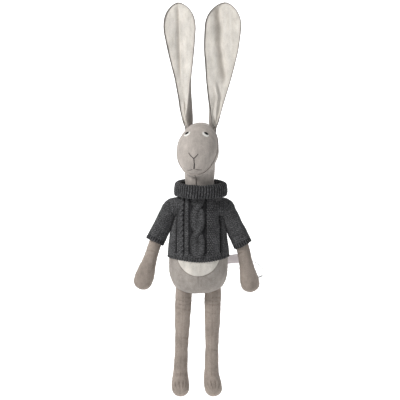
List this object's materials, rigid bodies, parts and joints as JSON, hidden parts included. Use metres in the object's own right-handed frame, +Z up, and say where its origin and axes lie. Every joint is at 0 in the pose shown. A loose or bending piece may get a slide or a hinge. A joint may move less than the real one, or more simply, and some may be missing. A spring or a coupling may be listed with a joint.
{
  "type": "stuffed bunny rabbit",
  "caption": "Long-limbed soft toy bunny with tall lined ears, embroidered face, cream belly patch and knitted roll-neck sweater.",
  "frame": {"origin": "centre of the waist, where a hand or a doll stand holds the toy, 205 mm above the toe tips", "axes": "+Z up through the neck to the ears; -Y is the way the toy faces; +X is the toy's own left"},
  "size_m": [0.2014, 0.0845, 0.5988],
  "materials": {
    "taupe_velour": "short nap, warm grey taupe",
    "taupe_velour_back": "short nap, the same cloth on the back",
    "cream_velour": "short nap, cream",
    "ear_interlining": "soft felted interlining",
    "fibrefill": "loose polyester fibrefill",
    "gathered_knot": "tightly gathered and tied cloth",
    "grey_knit": "melange wool knit, dark grey",
    "grey_rib": "ribbed wool knit, dark grey",
    "white_thread": "satin stitch, off-white",
    "black_thread": "satin stitch, black",
    "label_ribbon": "woven satin ribbon, plain",
    "loop_string": "thin translucent string"
  },
  "bodies": {
    "torso": {"torso_front_left": "taupe_velour", "torso_front_right": "taupe_velour", "torso_back": "taupe_velour_back", "torso_stuffing": "fibrefill", "belly_patch": "cream_velour", "sweater_front": "grey_knit", "sweater_back": "grey_knit", "sweater_hem": "grey_rib", "sweater_collar": "grey_rib"},
    "neck": {"neck_cover": "taupe_velour"},
    "neck_core": {"neck_stuffing": "fibrefill"},
    "head": {"head_face_panel": "taupe_velour", "head_side_left": "taupe_velour", "head_side_right": "taupe_velour", "head_stuffing": "fibrefill", "eye_white_left": "white_thread", "eye_white_right": "white_thread", "eye_pupil_left": "black_thread", "eye_pupil_right": "black_thread", "nose_stitches": "black_thread", "mouth_stitches": "black_thread"},
    "label": {"care_label": "label_ribbon", "tag_loop": "loop_string", "tag_loop_lock": "loop_string"},
    "ear_tab_left": {"ear_knot_left": "gathered_knot"},
    "ear_left": {"ear_back_left": "taupe_velour_back", "ear_batting_left": "ear_interlining", "ear_lining_left": "cream_velour"},
    "ear_tab_right": {"ear_knot_right": "gathered_knot"},
    "ear_right": {"ear_back_right": "taupe_velour_back", "ear_batting_right": "ear_interlining", "ear_lining_right": "cream_velour"},
    "arm_tab_left": {"arm_knot_left": "gathered_knot"},
    "arm_left": {"arm_front_left": "taupe_velour", "arm_back_left": "taupe_velour_back", "arm_stuffing_left": "fibrefill", "sleeve_left": "grey_knit", "cuff_left": "grey_rib"},
    "arm_tab_right": {"arm_knot_right": "gathered_knot"},
    "arm_right": {"arm_front_right": "taupe_velour", "arm_back_right": "taupe_velour_back", "arm_stuffing_right": "fibrefill", "sleeve_right": "grey_knit", "cuff_right": "grey_rib"},
    "leg_tab_left": {"leg_knot_left": "gathered_knot"},
    "leg_left": {"leg_outer_left": "taupe_velour", "leg_inner_left": "taupe_velour", "leg_stuffing_left": "fibrefill"},
    "leg_tab_right": {"leg_knot_right": "gathered_knot"},
    "leg_right": {"leg_outer_right": "taupe_velour", "leg_inner_right": "taupe_velour", "leg_stuffing_right": "fibrefill"}
  },
  "joints": [
    {"name": "neck_turn", "type": "hinge", "parent": "torso", "child": "neck", "pos_m": [0.0015, 0.002, 0.115], "axis": [0, 0, 1], "range_deg": [-60, 60], "stiffness_Nm_per_rad": 0.15},
    {"name": "head_tilt", "type": "hinge", "parent": "neck", "child": "neck_core", "pos_m": [0.0015, 0.002, 0.115], "axis": [-0.2079, -0.9781, 0], "range_deg": [-8, 8], "stiffness_Nm_per_rad": 0.7},
    {"name": "head_nod", "type": "hinge", "parent": "neck_core", "child": "head", "pos_m": [0.0015, 0.002, 0.115], "axis": [0.9781, -0.2079, 0], "range_deg": [-5, 12], "stiffness_Nm_per_rad": 0.7},
    {"name": "ear_splay_left", "type": "hinge", "parent": "head", "child": "ear_tab_left", "pos_m": [0.02077, 0.00608, 0.206], "axis": [0.2079, 0.9781, 0], "range_deg": [0, 45], "stiffness_Nm_per_rad": 0.08},
    {"name": "ear_flop_left", "type": "hinge", "parent": "ear_tab_left", "child": "ear_left", "pos_m": [0.02077, 0.00608, 0.206], "axis": [0.9781, -0.2079, 0], "range_deg": [-60, 60], "stiffness_Nm_per_rad": 0.08},
    {"name": "ear_splay_right", "type": "hinge", "parent": "head", "child": "ear_tab_right", "pos_m": [-0.01444, 0.01357, 0.206], "axis": [-0.2079, -0.9781, 0], "range_deg": [0, 45], "stiffness_Nm_per_rad": 0.08},
    {"name": "ear_flop_right", "type": "hinge", "parent": "ear_tab_right", "child": "ear_right", "pos_m": [-0.01444, 0.01357, 0.206], "axis": [0.9781, -0.2079, 0], "range_deg": [-60, 60], "stiffness_Nm_per_rad": 0.08},
    {"name": "shoulder_swing_left", "type": "hinge", "parent": "torso", "child": "arm_tab_left", "pos_m": [0.0405, 0, 0.0845], "axis": [-1, 0, 0], "range_deg": [-10, 110], "stiffness_Nm_per_rad": 0.02},
    {"name": "shoulder_raise_left", "type": "hinge", "parent": "arm_tab_left", "child": "arm_left", "pos_m": [0.0405, 0, 0.0845], "axis": [0, -1, 0], "range_deg": [0, 80], "stiffness_Nm_per_rad": 0.02},
    {"name": "shoulder_swing_right", "type": "hinge", "parent": "torso", "child": "arm_tab_right", "pos_m": [-0.0405, 0, 0.0845], "axis": [-1, 0, 0], "range_deg": [-40, 110], "stiffness_Nm_per_rad": 0.02},
    {"name": "shoulder_raise_right", "type": "hinge", "parent": "arm_tab_right", "child": "arm_right", "pos_m": [-0.0405, 0, 0.0845], "axis": [0, 1, 0], "range_deg": [0, 80], "stiffness_Nm_per_rad": 0.02},
    {"name": "hip_spread_left", "type": "hinge", "parent": "torso", "child": "leg_tab_left", "pos_m": [0.0233, 0.001, -0.0584], "axis": [0, -1, 0], "range_deg": [0, 20], "stiffness_Nm_per_rad": 0.02},
    {"name": "hip_swing_left", "type": "hinge", "parent": "leg_tab_left", "child": "leg_left", "pos_m": [0.0233, 0.001, -0.0584], "axis": [-1, 0, 0], "range_deg": [-30, 90], "stiffness_Nm_per_rad": 0.02},
    {"name": "hip_spread_right", "type": "hinge", "parent": "torso", "child": "leg_tab_right", "pos_m": [-0.0233, 0.001, -0.0584], "axis": [0, 1, 0], "range_deg": [0, 20], "stiffness_Nm_per_rad": 0.02},
    {"name": "hip_swing_right", "type": "hinge", "parent": "leg_tab_right", "child": "leg_right", "pos_m": [-0.0233, 0.001, -0.0584], "axis": [-1, 0, 0], "range_deg": [-30, 90], "stiffness_Nm_per_rad": 0.02},
    {"name": "label_flap", "type": "hinge", "parent": "torso", "child": "label", "pos_m": [0.0442, 0.011, 0.0037], "axis": [0, 0, 1], "range_deg": [0, 45], "stiffness_Nm_per_rad": 0.0003}
  ]
}
